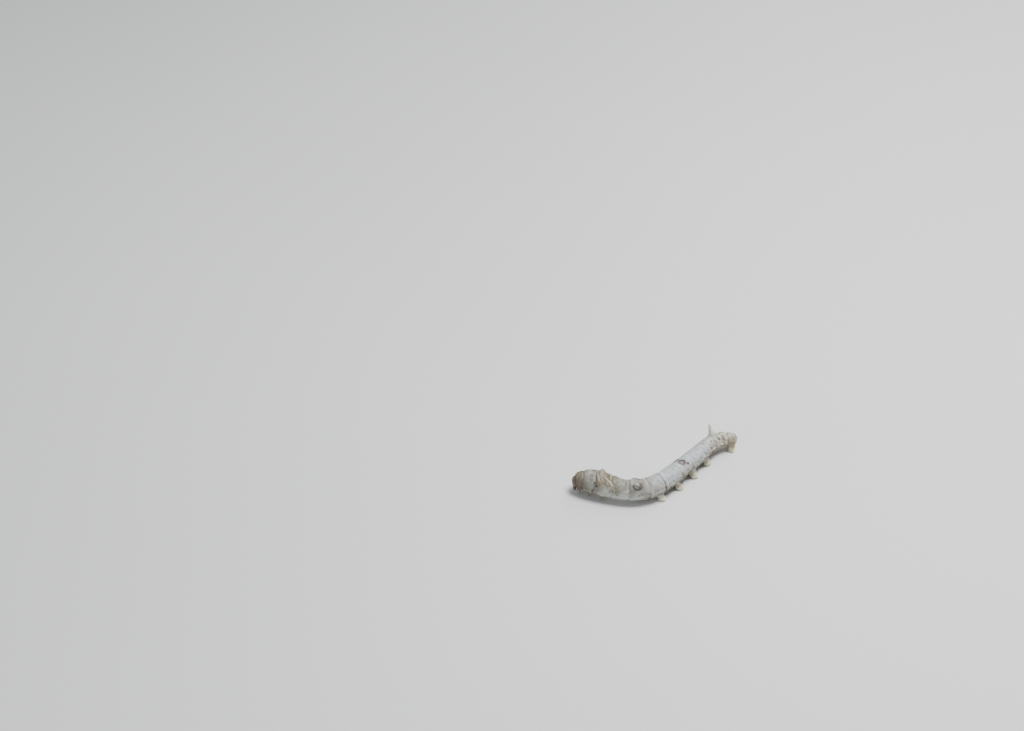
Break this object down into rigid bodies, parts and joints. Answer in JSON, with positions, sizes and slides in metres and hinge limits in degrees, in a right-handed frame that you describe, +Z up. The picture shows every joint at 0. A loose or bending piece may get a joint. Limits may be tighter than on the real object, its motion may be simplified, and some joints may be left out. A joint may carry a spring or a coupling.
{
  "type": "silkworm",
  "caption": "Grown silkworm larva standing with its rear bent aside: small brown head, swollen folded thorax, ringed body, fleshy feet and an upright tail horn.",
  "frame": {"origin": "middle of the bounding box, on the floor that the feet stand on", "axes": "+Z up; -X where the head points, so +X runs along the body towards the tail; -Y the worm's left side"},
  "size_m": [0.053, 0.0356, 0.0108],
  "materials": {
    "skin": "soft matt skin, grey white with a warm tan on the thorax",
    "head_shell": "brown horny shell with a low gloss",
    "leg_shell": "thin horny sheath, tan with dark claw tips"
  },
  "bodies": {
    "root": {"head": "head_shell", "mandible_left": "head_shell", "mandible_right": "head_shell", "mouthparts": "head_shell", "antenna_left": "head_shell", "antenna_right": "head_shell", "thorax_1": "skin", "thorax_2": "skin", "thorax_3": "skin", "abdomen_1": "skin", "abdomen_2": "skin", "abdomen_3": "skin", "abdomen_4": "skin", "abdomen_5": "skin", "abdomen_6": "skin", "abdomen_7": "skin", "abdomen_8": "skin", "abdomen_9": "skin", "abdomen_10": "skin", "horn": "skin", "leg_1_left": "leg_shell", "leg_1_right": "leg_shell", "leg_2_left": "leg_shell", "leg_2_right": "leg_shell", "leg_3_left": "leg_shell", "leg_3_right": "leg_shell", "proleg_3_left": "skin", "proleg_3_right": "skin", "proleg_4_left": "skin", "proleg_4_right": "skin", "proleg_5_left": "skin", "proleg_5_right": "skin", "proleg_6_left": "skin", "proleg_6_right": "skin", "clasper_left": "skin", "clasper_right": "skin"}
  },
  "joints": []
}
